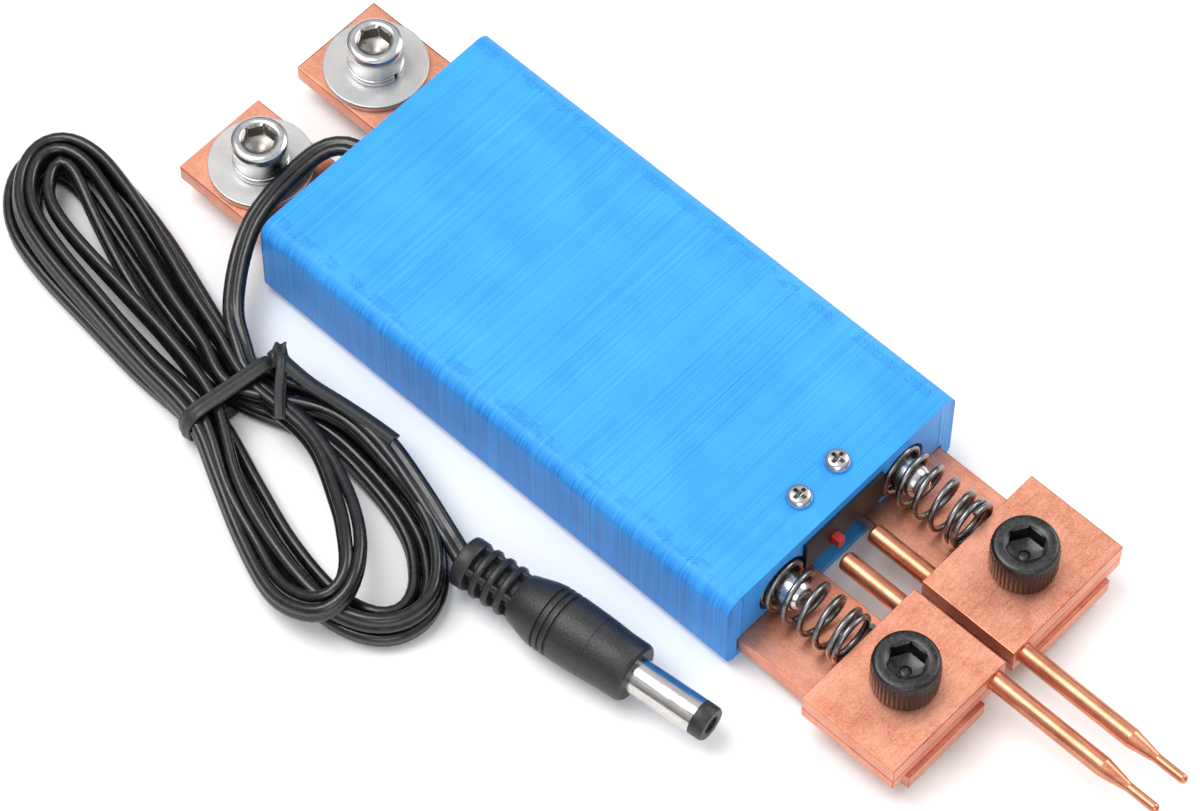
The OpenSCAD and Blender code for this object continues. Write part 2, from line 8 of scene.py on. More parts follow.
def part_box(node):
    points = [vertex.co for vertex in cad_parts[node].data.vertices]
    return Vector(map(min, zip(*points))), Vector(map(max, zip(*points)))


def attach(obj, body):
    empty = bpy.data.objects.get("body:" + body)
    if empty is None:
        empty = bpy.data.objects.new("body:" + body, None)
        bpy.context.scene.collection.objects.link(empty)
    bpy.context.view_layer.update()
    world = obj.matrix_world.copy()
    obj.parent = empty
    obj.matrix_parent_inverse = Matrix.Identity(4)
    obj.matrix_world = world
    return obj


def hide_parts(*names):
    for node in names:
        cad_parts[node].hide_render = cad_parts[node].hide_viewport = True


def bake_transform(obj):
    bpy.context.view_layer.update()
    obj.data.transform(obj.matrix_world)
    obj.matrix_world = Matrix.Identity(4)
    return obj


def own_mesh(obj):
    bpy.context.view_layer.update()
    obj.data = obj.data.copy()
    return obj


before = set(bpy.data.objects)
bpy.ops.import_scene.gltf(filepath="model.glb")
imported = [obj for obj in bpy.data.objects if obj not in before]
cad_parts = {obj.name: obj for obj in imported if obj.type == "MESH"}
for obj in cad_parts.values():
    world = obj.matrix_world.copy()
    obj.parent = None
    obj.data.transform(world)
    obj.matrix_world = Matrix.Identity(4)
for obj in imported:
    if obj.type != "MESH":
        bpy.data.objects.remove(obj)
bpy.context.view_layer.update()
MM = 0.001


# ---- camera and lights ----

def point_camera(place, forward, down, focal_mm):
    """A camera at place, in mm, that looks along forward and has down towards the foot of the picture."""
    camera_data = bpy.data.cameras.new("camera")
    camera_data.sensor_width = 36.0
    camera_data.lens = focal_mm
    camera_data.clip_start = 0.01
    camera = bpy.data.objects.new("camera", camera_data)
    bpy.context.scene.collection.objects.link(camera)
    back = -Vector(forward).normalized()
    up = -Vector(down).normalized()
    right = up.cross(back).normalized()
    up = back.cross(right)
    turn = Matrix((right, up, back)).transposed().to_4x4()
    camera.matrix_world = Matrix.Translation(Vector(place) * MM) @ turn
    bpy.context.scene.camera = camera


point_camera((236.2166, -276.6029, 618.6699), (-0.34995809, 0.37670548, -0.85768427),
             (0.58778929, -0.62460716, -0.51416888), 148.64)


def area_light(name, place, target, size, power, colour=(1, 1, 1)):
    """A round lamp at place, aimed at target, in metres and watts."""
    data = bpy.data.lights.new(name, "AREA")
    data.shape = "DISK"
    data.size = size
    data.energy = power
    data.color = colour
    light = bpy.data.objects.new(name, data)
    bpy.context.scene.collection.objects.link(light)
    light.location = place
    light.rotation_euler = (Vector(target) - Vector(place)).to_track_quat("-Z", "Y").to_euler()


area_light("key_light", (-0.35, -0.2, 0.95), (0, 0, 0), 0.7, 7.2)
area_light("fill_light", (0.55, -0.55, 0.5), (0, 0, 0), 0.6, 2.0)
area_light("back_light", (0.2, 0.7, 0.5), (0, 0, 0), 0.5, 3.0)

bpy.context.scene.view_settings.view_transform = "Standard"
world = bpy.data.worlds.new("studio")
bpy.context.scene.world = world
world.use_nodes = True
world.node_tree.nodes["Background"].inputs["Strength"].default_value = 1.0


def shade_world(tree, stops):
    """A studio tent: brightness by height, from the horizon (0.5) to straight up (1.0)."""
    coords = tree.nodes.new("ShaderNodeTexCoord")
    split = tree.nodes.new("ShaderNodeSeparateXYZ")
    tree.links.new(coords.outputs["Generated"], split.inputs["Vector"])
    height = tree.nodes.new("ShaderNodeMath")
    height.operation = "MULTIPLY_ADD"
    height.inputs[1].default_value = 0.5
    height.inputs[2].default_value = 0.5
    tree.links.new(split.outputs["Z"], height.inputs[0])
    ramp = tree.nodes.new("ShaderNodeValToRGB")
    while len(ramp.color_ramp.elements) < len(stops):
        ramp.color_ramp.elements.new(0.5)
    for element, (position, grey) in zip(ramp.color_ramp.elements, stops):
        element.position = position
        element.color = (grey, grey, grey, 1.0)
    tree.links.new(height.outputs["Value"], ramp.inputs["Fac"])
    tree.links.new(ramp.outputs["Color"], tree.nodes["Background"].inputs["Color"])


shade_world(world.node_tree, [(0.4, 0.45), (0.58, 0.22), (0.72, 0.5), (0.86, 0.75), (1.0, 0.8)])


# ---- materials ----

class Shade:
    """A small helper round one node material."""

    def __init__(self, name, colour, rough, metal=0.0, coat=0.0, specular=0.5):
        self.mat = bpy.data.materials.new(name)
        self.mat.use_nodes = True
        self.tree = self.mat.node_tree
        self.bsdf = self.tree.nodes["Principled BSDF"]
        self.bsdf.inputs["Base Color"].default_value = (*colour, 1.0)
        self.bsdf.inputs["Roughness"].default_value = rough
        self.bsdf.inputs["Metallic"].default_value = metal
        self.bsdf.inputs["Coat Weight"].default_value = coat
        self.bsdf.inputs["Coat Roughness"].default_value = 0.15
        self.bsdf.inputs["Specular IOR Level"].default_value = specular
        coords = self.node("ShaderNodeTexCoord")
        self.place = coords.outputs["Object"]

    def node(self, kind, **values):
        made = self.tree.nodes.new(kind)
        for key, value in values.items():
            setattr(made, key, value)
        return made

    def link(self, out, into):
        self.tree.links.new(out, into)

    def stretched(self, scale, turn=(0, 0, 0)):
        """Object coordinates stretched by scale, in 1/mm."""
        mapping = self.node("ShaderNodeMapping")
        mapping.inputs["Scale"].default_value = [s / MM for s in scale]
        mapping.inputs["Rotation"].default_value = turn
        self.link(self.place, mapping.inputs["Vector"])
        return mapping.outputs["Vector"]

    def noise(self, scale, detail=3.0, rough=0.55, turn=(0, 0, 0)):
        made = self.node("ShaderNodeTexNoise")
        made.inputs["Scale"].default_value = 1.0
        made.inputs["Detail"].default_value = detail
        made.inputs["Roughness"].default_value = rough
        self.link(self.stretched(scale, turn), made.inputs["Vector"])
        return made.outputs["Fac"]

    def ramp(self, value, stops):
        """Colour or grey stops as (position, colour)."""
        made = self.node("ShaderNodeValToRGB")
        ends = made.color_ramp.elements
        while len(ends) < len(stops):
            ends.new(0.5)
        for element, (position, colour) in zip(ends, stops):
            element.position = position
            rgb = colour if hasattr(colour, "__len__") else (colour, colour, colour)
            element.color = (*rgb, 1.0)
        self.link(value, made.inputs["Fac"])
        return made.outputs["Color"]

    def range(self, value, low, high, from_low=0.3, from_high=0.7):
        """The value mapped from from_low..from_high to low..high, and clamped there."""
        made = self.node("ShaderNodeMapRange")
        made.inputs["From Min"].default_value = from_low
        made.inputs["From Max"].default_value = from_high
        made.inputs["To Min"].default_value = low
        made.inputs["To Max"].default_value = high
        self.link(value, made.inputs["Value"])
        return made.outputs["Result"]

    def maths(self, kind, a, b=None):
        """A maths node on numbers or sockets."""
        made = self.node("ShaderNodeMath", operation=kind)
        for socket, value in zip(made.inputs, (a, b)):
            if value is None:
                continue
            if isinstance(value, (int, float)):
                socket.default_value = value
            else:
                self.link(value, socket)
        return made.outputs["Value"]

    def colour(self, socket):
        self.link(socket, self.bsdf.inputs["Base Color"])

    def rough(self, socket):
        self.link(socket, self.bsdf.inputs["Roughness"])

    def bump(self, height, distance_mm, strength=1.0, over=None):
        """Relief distance_mm deep, on top of the bump called over."""
        made = self.node("ShaderNodeBump")
        made.inputs["Distance"].default_value = distance_mm * MM
        made.inputs["Strength"].default_value = strength
        self.link(height, made.inputs["Height"])
        if over is not None:
            self.link(over, made.inputs["Normal"])
        self.link(made.outputs["Normal"], self.bsdf.inputs["Normal"])
        return made.outputs["Normal"]


def printed_plastic():
    """Blue print made standing on end: layer lines at constant x, chevrons where wall meets infill."""
    # distances from the middle plane, and the chevrons' pitch, in metres
    side_starts, side_full = 0.0226, 0.0236
    band_centre, band_half, band_fade = 0.0212, 0.0006, 0.0009
    chevron_pitch = 0.0009
    s = Shade("printed_blue_plastic", (0.03, 0.30, 0.86), 0.42, specular=0.4)
    layers = s.noise((5.5, 0.012, 0.012), detail=2.0)
    fine = s.noise((9.0, 0.04, 0.04), detail=1.0)
    blotch = s.noise((0.06, 0.1, 0.1), detail=2.0)
    split = s.node("ShaderNodeSeparateXYZ")
    s.link(s.place, split.inputs["Vector"])
    across = s.maths("ABSOLUTE", split.outputs["Y"])
    on_side = s.range(across, 0.0, 1.0, side_starts, side_full)
    side_lines = s.maths("MULTIPLY", s.range(fine, 0.42, 0.0, 0.4, 0.56), on_side)
    tone = s.maths("ADD", s.maths("MULTIPLY", layers, 0.6), s.maths("MULTIPLY", blotch, 0.4))
    tone = s.maths("SUBTRACT", tone, side_lines)
    dark, blue, pale = (0.012, 0.20, 0.66), (0.026, 0.31, 0.86), (0.055, 0.41, 0.97)
    s.colour(s.ramp(tone, [(0.1, dark), (0.42, blue), (0.7, pale)]))
    from_band = s.maths("ABSOLUTE", s.maths("SUBTRACT", across, band_centre))
    band = s.range(from_band, 1.0, 0.0, band_half, band_fade)
    run = s.maths("DIVIDE", s.maths("ADD", split.outputs["X"], from_band), chevron_pitch)
    from_middle = s.maths("ABSOLUTE", s.maths("SUBTRACT", s.maths("FRACT", run), 0.5))
    chevron = s.range(from_middle, 0.0, 1.0, 0.1, 0.35)
    patchy = s.range(s.noise((0.35, 0.35, 0.35), detail=1.0), 0.25, 1.0, 0.42, 0.55)
    stitch = s.maths("MULTIPLY", s.maths("MULTIPLY", chevron, band), patchy)
    lines = s.bump(s.maths("ADD", layers, s.maths("MULTIPLY", fine, 0.5)), 0.16)
    s.bump(stitch, 0.15, over=lines)
    s.rough(s.range(fine, 0.36, 0.52))
    return s.mat


def metal(name, base, other, rough, grain, grain_depth=0.006, rough_spread=0.12, blotch=0.25, lined=0.55,
          specked=0.0, metallic=1.0):
    """Metal in two tones, mixed by its grain (stretched by grain, in 1/mm), fine specks and large clouds."""
    s = Shade(name, base, rough, metal=metallic)
    lines = s.noise(grain, detail=4.0, rough=0.7)
    clouds = s.noise((blotch, blotch, blotch), detail=5.0)
    specks = s.noise((4.2, 4.2, 4.2), detail=3.0, rough=0.7)
    tone = s.maths("ADD", s.maths("MULTIPLY", lines, lined), s.maths("MULTIPLY", clouds, 1 - lined - specked))
    tone = s.maths("ADD", tone, s.maths("MULTIPLY", specks, specked))
    s.colour(s.ramp(tone, [(0.38, other), (0.56, base)]))
    s.rough(s.range(lines, rough - rough_spread / 2, rough + rough_spread))
    s.bump(s.maths("ADD", lines, s.maths("MULTIPLY", specks, specked)), grain_depth, 0.8)
    return s.mat


def plastic(name, base, other, rough, grain=3.0, depth=0.01, coat=0.0, spread=0.1):
    """Plastic in two tones with fine specks, grain of them to the mm."""
    s = Shade(name, base, rough, coat=coat)
    specks = s.noise((grain, grain, grain), detail=3.0)
    s.colour(s.ramp(specks, [(0.35, other), (0.65, base)]))
    s.rough(s.range(specks, rough - spread / 2, rough + spread / 2))
    s.bump(specks, depth, 0.8)
    return s.mat


COPPER_RED = (0.60, 0.205, 0.115)
COPPER_PINK = (0.83, 0.385, 0.265)
materials = {
    "print": printed_plastic(),
    "copper_x": metal("copper_lengthwise", COPPER_PINK, COPPER_RED, 0.34, (0.2, 7.0, 7.0), 0.012,
                      lined=0.3, specked=0.4, metallic=0.9),
    "copper_y": metal("copper_crosswise", COPPER_PINK, COPPER_RED, 0.36, (5.0, 0.5, 5.0), 0.016,
                      lined=0.2, specked=0.5, metallic=0.9),
    # darker copper for the plates' bevelled edges: painted shade along the edges
    "copper_edge_painted_shade": metal("copper_edge_painted_shade", (0.52, 0.17, 0.09), (0.30, 0.085, 0.045), 0.3,
                         (0.8, 0.8, 0.8), 0.004),
    "copper_rod": metal("copper_drawn_rod", (0.72, 0.31, 0.19), (0.46, 0.16, 0.085), 0.3,
                        (0.15, 6.0, 6.0), 0.008, lined=0.4, specked=0.2),
    "braid": metal("copper_braid", (0.85, 0.45, 0.3), (0.3, 0.1, 0.05), 0.4, (2.5, 2.5, 2.5), 0.2),
    "stainless": metal("stainless_steel", (0.62, 0.62, 0.63), (0.50, 0.50, 0.51), 0.2,
                       (0.5, 0.5, 3.0), 0.002),
    # darker steel for the insides of the screws' recesses: painted shade
    "socket": metal("socket_painted_shade", (0.34, 0.32, 0.30), (0.18, 0.17, 0.16), 0.36,
                    (2.0, 2.0, 2.0), 0.004),
    "washer": metal("satin_washer", (0.56, 0.555, 0.545), (0.46, 0.455, 0.45), 0.42,
                    (1.5, 5.0, 5.0), 0.006),
    "spring": metal("dark_spring_steel", (0.27, 0.265, 0.26), (0.15, 0.148, 0.147), 0.27,
                    (0.6, 0.6, 0.6), 0.001),
    "black_oxide": metal("black_oxide_steel", (0.075, 0.073, 0.074), (0.03, 0.03, 0.032), 0.36,
                         (2.5, 2.5, 2.5), 0.015),
    "nickel": metal("nickel_plating", (0.70, 0.68, 0.66), (0.50, 0.485, 0.47), 0.17,
                    (0.12, 3.0, 3.0), 0.004),
    "brass": metal("brass", (0.85, 0.62, 0.25), (0.55, 0.36, 0.12), 0.25, (2.0, 2.0, 2.0)),
    "cord": plastic("cord_pvc", (0.009, 0.009, 0.0095), (0.005, 0.005, 0.005), 0.28, 0.6, 0.03,
                    coat=0.15, spread=0.16),
    "plug": plastic("plug_pvc", (0.022, 0.022, 0.023), (0.011, 0.011, 0.012), 0.4, 3.2, 0.09),
    "tie": plastic("tie_pvc", (0.03, 0.03, 0.031), (0.014, 0.014, 0.014), 0.45, 2.5, 0.02),
    "switch": plastic("switch_plastic", (0.018, 0.018, 0.019), (0.009, 0.009, 0.009), 0.4, 4.0, 0.01),
    "red": plastic("red_plastic", (0.55, 0.03, 0.025), (0.38, 0.015, 0.012), 0.38, 3.0, 0.01),
    "board": plastic("board_mask", (0.015, 0.11, 0.045), (0.008, 0.07, 0.028), 0.3, 1.5, 0.01, coat=0.3),
    "sleeve": plastic("capacitor_sleeve", (0.02, 0.03, 0.13), (0.012, 0.018, 0.09), 0.25, 2.0, 0.005,
                      coat=0.3),
}

# the CAD nodes that each material goes on
painted = {
    "print": ["case", "rear_cover"],
    "copper_x": ["near_terminal_bar", "far_terminal_bar", "near_slide_bar", "far_slide_bar", "front_bus"],
    "copper_y": ["near_clamp_lower", "far_clamp_lower", "near_clamp_upper", "far_clamp_upper"],
    "copper_rod": ["near_electrode", "far_electrode"],
    "braid": ["near_braid", "far_braid"],
    "stainless": ["rear_cover_screws", "board_screws", "near_terminal_screw", "far_terminal_screw",
                  "near_lock_washer", "far_lock_washer", "switch_screws", "switch_nuts", "near_spring_guide",
                  "far_spring_guide", "near_stop_pin", "far_stop_pin", "switch_terminals"],
    "washer": ["near_washer", "far_washer"],
    "spring": ["near_spring", "far_spring"],
    "black_oxide": ["near_clamp_screw", "far_clamp_screw"],
    "nickel": ["plug_barrel"],
    "brass": ["plug_contact"],
    "cord": ["inlet_wires", "cord_lead", "cord_hank", "cord_tail"],
    "plug": ["plug_body", "plug_insulator", "cord_grommet"],
    "tie": ["cord_tie"],
    "switch": ["switch_body", "transistors", "control_chip", "regulator"],
    "red": ["switch_plunger", "switch_wires"],
    "board": ["control_board"],
    "sleeve": ["capacitor"],
}


def paint(piece, *names):
    piece.data.materials.clear()
    for name in names:
        piece.data.materials.append(materials[name])


for name, nodes in painted.items():
    # the copper plates get a second slot, darker copper that paints shade along their bevelled edges
    painted_shade_edge = ["copper_edge_painted_shade"] if name in ("copper_x", "copper_y") else []
    for node in nodes:
        paint(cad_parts[node], name, *painted_shade_edge)


# ---- floor ----

def make_floor():
    """A pale floor just under the part, so that the two never share a plane."""
    reach = 3.0
    gap = 0.0002
    corners = [(-reach, -reach, 0), (reach, -reach, 0), (reach, reach, 0), (-reach, reach, 0)]
    mesh = bpy.data.meshes.new("floor")
    mesh.from_pydata(corners, [], [(0, 1, 2, 3)])
    floor = bpy.data.objects.new("floor", mesh)
    floor.location.z = -gap
    bpy.context.scene.collection.objects.link(floor)
    s = Shade("pale_floor", (0.93, 0.93, 0.93), 0.8, specular=0.1)
    s.colour(s.ramp(s.noise((0.02, 0.02, 0.02)), [(0.3, 0.92), (0.7, 0.94)]))
    floor.data.materials.append(s.mat)


make_floor()


# ---- cord, in mm ----

TIE = Vector((-54.5, -42.7, 0.0))
HANK_TURN = math.radians(-7.5)
LOBE_R = 0.9  # of each of the cord's two wires
LOBE_OFFSET = 0.72  # from the cord's middle to a wire's
LOW_Z = 1.72  # heights of the hank's two layers of strands
HIGH_Z = 5.0
CORD_STEP = 1.4  # between the rings of the cord's mesh

lead_route = [(-66.9, -2, 11), (-69.5, -2.7, 10.9), (-71.4, -4.6, 10.7), (-72.2, -7.4, 10.4),
              (-72.3, -11.5, 10), (-72, -16, 9.7), (-71, -21.2, 8.8), (-68, -27, 7.6), (-63.5, -32.6, 6.6)]
tail_end = (-10.8, -38.9, 5.2)


def in_hank(u, v, z):
    """A point of the hank: u along it from the tie towards the tips, v across it, in mm."""
    c = math.cos(HANK_TURN)
    s = math.sin(HANK_TURN)
    return (TIE.x + u * c - v * s, TIE.y + u * s + v * c, z)


def inward(outline, nest):
    """The outline's points moved nest mm to its right-hand side, which is the inside of a clockwise loop."""
    moved = []
    for i, (u, v) in enumerate(outline):
        before = outline[max(i - 1, 0)]
        after = outline[min(i + 1, len(outline) - 1)]
        du, dv = after[0] - before[0], after[1] - before[1]
        size = math.hypot(du, dv)
        moved.append((u + nest * dv / size, v - nest * du / size))
    return moved


def front_lobe(nest, z, tie_in, tie_out):
    """From the tie round the front lobe and back, nest mm inside the outermost turn."""
    outer = [(12, 10.6), (25, 11.4), (35, 10.0), (42, 6.2), (45.6, 1.4), (45.4, -4.2), (41.4, -8.6),
             (34, -11.0), (23, -10.6), (12, -8.4)]
    return [(0, tie_in, z)] + [(u, v, z) for u, v in inward(outer, nest)] + [(0, tie_out, z)]


def crossing_lobe(nest, tie_in, tie_out):
    """The loose loop on top, which crosses the others and lies lowest at its end."""
    middle_u, middle_v = 26, -5
    outer = [(12, 5.6, 6.2), (24, 3.0, 7.2), (32, -0.6, 8.2), (37, -5.2, 8.4), (38.4, -9.4, 7.6),
             (36.4, -13.0, 6.2), (30, -15.0, 4.6), (20, -13.0, 4.0), (10, -9.8, 4.4)]
    points = [(0, tie_in, HIGH_Z)]
    for u, v, z in outer:
        shift = Vector((middle_u - u, middle_v - v)).normalized() * nest
        points.append((u + shift.x, v + shift.y, z))
    points.append((0, tie_out, HIGH_Z))
    return points


def rear_lobe(low_nest, up_nest, pull, lean, z_in, z_out):
    """From the tie's lower side round the rear lobe to its upper side.

    The nests are how far inside the outermost turn its lower and upper runs lie. The upper run is
    pulled to the middle by pull, and the lobe's end leans to the upper side by lean."""
    outer = [(-12, -6.8), (-24, -7.1), (-36, -7.4), (-44.6, -6.4), (-50.4, -2.8), (-53.0, 2.2), (-51.4, 7.2),
             (-46, 10.6), (-38, 11.6), (-28, 10.8), (-18, 8.8), (-9, 7.0)]
    low_run = inward(outer, low_nest)
    up_run = inward(outer, up_nest)
    tip = 6
    last = len(outer) - 1
    points = []
    for i in range(len(outer)):
        share = i / last
        u = low_run[i][0] * (1 - share) + up_run[i][0] * share
        v = low_run[i][1] * (1 - share) + up_run[i][1] * share
        after_tip = max(0.0, (i - tip) / (last - tip + 1))
        v -= pull * math.sin(math.pi * after_tip) ** 1.5
        v += lean * max(0.0, -u - 8) / 45
        to_next = min(1.0, max(0.0, (i - tip - 1) / (last - tip - 1)))
        points.append((u, v, z_in + (z_out - z_in) * to_next))
    return points


def hank_points():
    """All turns of the hank, from the lead's side to the tail's, with a slight waver."""
    turns = [
        # front lobe's kind and nest, tie passes in and out, rear nests low and up, pull, lean, height
        ("cross", 0.0, 5.0, -6.6, 0.0, 1.6, 1.6, 1.6, HIGH_Z),
        ("cross", 2.2, 3.1, -4.6, 1.9, 3.5, 3.0, 1.6, HIGH_Z),
        ("nest", 0.6, 1.2, -2.6, 5.4, 5.2, 4.6, 1.6, HIGH_Z),
        ("nest", 3.9, 1.3, -2.0, 3.8, 3.8, 3.2, 0.0, LOW_Z),
        ("nest", 1.95, 3.2, -3.9, 1.9, 1.9, 1.9, 0.0, LOW_Z),
        ("nest", 0.0, 5.1, -5.8, 0.0, 0.0, 0.6, 0.0, LOW_Z),
    ]
    points = []
    for i, (kind, nest, tie_in, tie_out, low_nest, up_nest, pull, lean, z) in enumerate(turns):
        if kind == "cross":
            points += crossing_lobe(nest, tie_in, tie_out)
        else:
            points += front_lobe(nest, z, tie_in, tie_out)
        next_z = turns[i + 1][-1] if i + 1 < len(turns) else LOW_Z
        points += rear_lobe(low_nest, up_nest, pull, lean, z, next_z)
    return [in_hank(u, v + 0.2 * math.sin(0.9 * n), z) for n, (u, v, z) in enumerate(points)]


def smooth_line(points, step):
    """A smooth curve through the points, in equal steps."""
    parts = 16
    passes = 12
    p = [Vector(q) for q in points]
    dense = []
    for i in range(len(p) - 1):
        a, b, c, d = p[max(i - 1, 0)], p[i], p[i + 1], p[min(i + 2, len(p) - 1)]
        for k in range(parts):
            t = k / parts
            dense.append(0.5 * (2 * b + (c - a) * t + (2 * a - 5 * b + 4 * c - d) * t ** 2
                                + (3 * b - a - 3 * c + d) * t ** 3))
    dense.append(p[-1])
    for _ in range(passes):
        inner = [(dense[i - 1] + 2 * dense[i] + dense[i + 1]) / 4 for i in range(1, len(dense) - 1)]
        dense = [dense[0]] + inner + [dense[-1]]
    line = [dense[0]]
    left = step
    for a, b in zip(dense, dense[1:]):
        gap = (b - a).length
        while gap >= left:
            a = a + (b - a) * (left / gap)
            line.append(a.copy())
            gap = (b - a).length
            left = step
        left -= gap
    line.append(dense[-1])
    return line


def twin_profile(sides):
    """Outline of the flat twin cord as (along its width, across it)."""
    outline = []
    for k in range(sides):
        angle = 2 * math.pi * k / sides
        along = abs(LOBE_OFFSET * math.cos(angle))
        reach = along + math.sqrt(LOBE_R ** 2 - (LOBE_OFFSET * math.sin(angle)) ** 2)
        outline.append((reach * math.cos(angle), reach * math.sin(angle)))
    return outline


def finished(name, mesh, sharp=40):
    """The bmesh as a smooth-shaded object with sharp edges kept."""
    bmesh.ops.recalc_face_normals(mesh, faces=mesh.faces)
    for edge in mesh.edges:
        if len(edge.link_faces) == 2 and edge.calc_face_angle(0) > math.radians(sharp):
            edge.smooth = False
    data = bpy.data.meshes.new(name)
    mesh.to_mesh(data)
    mesh.free()
    data.polygons.foreach_set("use_smooth", [True] * len(data.polygons))
    made = bpy.data.objects.new(name, data)
    bpy.context.scene.collection.objects.link(made)
    return made


def sweep(name, line, profile, lie, upright=(0, 0, 1), closed=False):
    """A tube along line; lie(i) is how far the profile's width is turned from upright, in radians."""
    mesh = bmesh.new()
    rings = []
    count = len(line)
    for i, p in enumerate(line):
        after = line[(i + 1) % count] if closed else line[min(i + 1, count - 1)]
        before = line[i - 1] if closed else line[max(i - 1, 0)]
        ahead = (after - before).normalized()
        side = ahead.cross(Vector(upright)).normalized()
        up = side.cross(ahead).normalized()
        turn = lie(i)
        wide = up * math.cos(turn) + side * math.sin(turn)
        thin = side * math.cos(turn) - up * math.sin(turn)
        rings.append([mesh.verts.new((p + wide * a + thin * b) * MM) for a, b in profile])
    n = len(profile)
    nexts = rings[1:] + rings[:1] if closed else rings[1:]
    for low, high in zip(rings, nexts):
        for k in range(n):
            mesh.faces.new((low[k], low[(k + 1) % n], high[(k + 1) % n], high[k]))
    if not closed:
        mesh.faces.new(list(reversed(rings[0])))
        mesh.faces.new(rings[-1])
    return finished(name, mesh)


def make_cord():
    """The whole cord as one piece: lead, hank and tail."""
    tail = [in_hank(0, 7.0, 3.4), in_hank(10, 10.8, 5.2), in_hank(20, 12.4, 6.4), in_hank(30, 11.4, 6.4),
            (-15.4, -37.4, 5.0), (-13.0, -38.2, 5.2), tail_end]
    line = smooth_line(lead_route + [in_hank(-5.5, 6.6, 6.0)] + hank_points() + tail, CORD_STEP)
    lead_steps = int(36 / CORD_STEP)
    tail_steps = int(42 / CORD_STEP)
    last = len(line) - 1

    def lie(i):
        """Flat on the lead and the tail, on edge in the hank."""
        flat = math.pi / 2
        if i < lead_steps * 2:
            return flat * max(0.0, min(1.0, 2 - i / lead_steps))
        if i > last - tail_steps:
            return flat * min(1.0, (i - last + tail_steps) / (tail_steps * 0.5))
        return 0.22 * math.sin(i * 0.021) + 0.12 * math.sin(i * 0.053 + 1.0)

    cord = sweep("power_cord", line, twin_profile(22), lie)
    cord.data.materials.append(materials["cord"])
    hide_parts("cord_lead", "cord_hank", "cord_tail")
    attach(cord, "pen_body")


make_cord()


# ---- turned pieces: screws and plug, in mm ----

def round_ring(radius):
    return lambda angle: radius


def rounds(*pairs):
    """Round rings from pairs of radius and height."""
    return [(round_ring(radius), height) for radius, height in pairs]


def hex_ring(half_flat):
    def at(angle):
        return half_flat / math.cos((angle % (math.pi / 3)) - math.pi / 6)
    return at


def knurl_ring(radius, teeth, depth):
    def at(angle):
        phase = (angle * teeth / (2 * math.pi)) % 1.0
        return radius - depth * abs(2 * phase - 1) ** 1.5
    return at


def cross_ring(half_width, reach):
    """The outline of a cross recess."""
    def at(angle):
        c, s = abs(math.cos(angle)) + 1e-6, abs(math.sin(angle)) + 1e-6
        return max(min(reach / c, half_width / s), min(reach / s, half_width / c))
    return at


def turned(name, rings, sides, place, axis=(0, 0, 1)):
    """A turned body: rings are (radius function, height) from one end to the other, 0 for a point."""
    mesh = bmesh.new()
    loops = []
    for shape, height in rings:
        if shape == 0:
            loops.append([mesh.verts.new((0, 0, height * MM))])
            continue
        loop = []
        for k in range(sides):
            angle = 2 * math.pi * k / sides
            reach = shape(angle) * MM
            loop.append(mesh.verts.new((reach * math.cos(angle), reach * math.sin(angle), height * MM)))
        loops.append(loop)
    for low, high in zip(loops, loops[1:]):
        for k in range(sides):
            after = k + 1
            corners = [low[k % len(low)], low[after % len(low)], high[after % len(high)], high[k % len(high)]]
            unique = [c for i, c in enumerate(corners) if c not in corners[:i]]
            if len(unique) > 2:
                mesh.faces.new(unique)
    turn = Vector((0, 0, 1)).rotation_difference(Vector(axis)).to_matrix().to_4x4()
    bmesh.ops.transform(mesh, matrix=Matrix.Translation(Vector(place) * MM) @ turn, verts=mesh.verts)
    return finished(name, mesh, sharp=32)


def box_mm(node):
    return [[c / MM for c in corner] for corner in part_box(node)]


def middle(node):
    low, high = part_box(node)
    return [(a + b) / 2 / MM for a, b in zip(low, high)]


def top(node):
    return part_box(node)[1][2] / MM


def dress(piece, material, slot, body, *nodes):
    """The piece's material and body, and the CAD nodes that it stands for; the slot is not used."""
    piece.data.materials.append(materials[material])
    if nodes:
        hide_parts(*nodes)
    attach(piece, body)


def paint_socket_shade(piece, x, y, reach, test):
    """The faces within reach of the upright axis at x, y that pass the test get the darker steel: painted
    shade in the recess.
    """
    piece.data.materials.append(materials["socket"])
    for face in piece.data.polygons:
        from_axis = math.hypot(face.center.x / MM - x, face.center.y / MM - y)
        if from_axis < reach and test(face):
            face.material_index = 1


def clamp_screw(side):
    """Knurled black cap screw with a hexagon socket; rings stand in for its thread."""
    node = side + "_clamp_screw"
    x, y, _ = middle(node)
    head = 5.9
    shank = 7.7
    pitch = 1.0
    knurl = knurl_ring(5.0, 44, 0.16)
    socket = hex_ring(2.5)
    rings = [(0, -shank), (round_ring(2.4), -shank)]
    for i in range(int(shank / pitch)):
        base = -shank + 0.3 + i * pitch
        rings += rounds((2.65, base), (2.97, base + 0.45), (2.97, base + 0.55))
    rings += rounds((2.95, -0.1), (2.95, 0.02), (4.6, 0.02), (4.86, 0.12), (4.9, 0.35))
    rings += [(knurl, 0.5), (knurl, 2.6), (knurl, 4.75)]
    rings += rounds((4.86, 4.9), (4.86, 5.25), (4.74, 5.6), (4.5, 5.82), (4.2, head), (3.15, head),
                    (2.98, head - 0.08))
    rings += [(socket, head - 0.35), (socket, 2.8)]
    rings += rounds((2.0, 2.55), (0.9, 2.45), (0.75, 2.55), (0.4, 2.6)) + [(0, 2.61)]
    piece = turned(side + "_clamp_screw_detail", rings, 264, (x, y, top(node) - head))
    dress(piece, "black_oxide", "black_oxide_steel", side + "_slide", node)


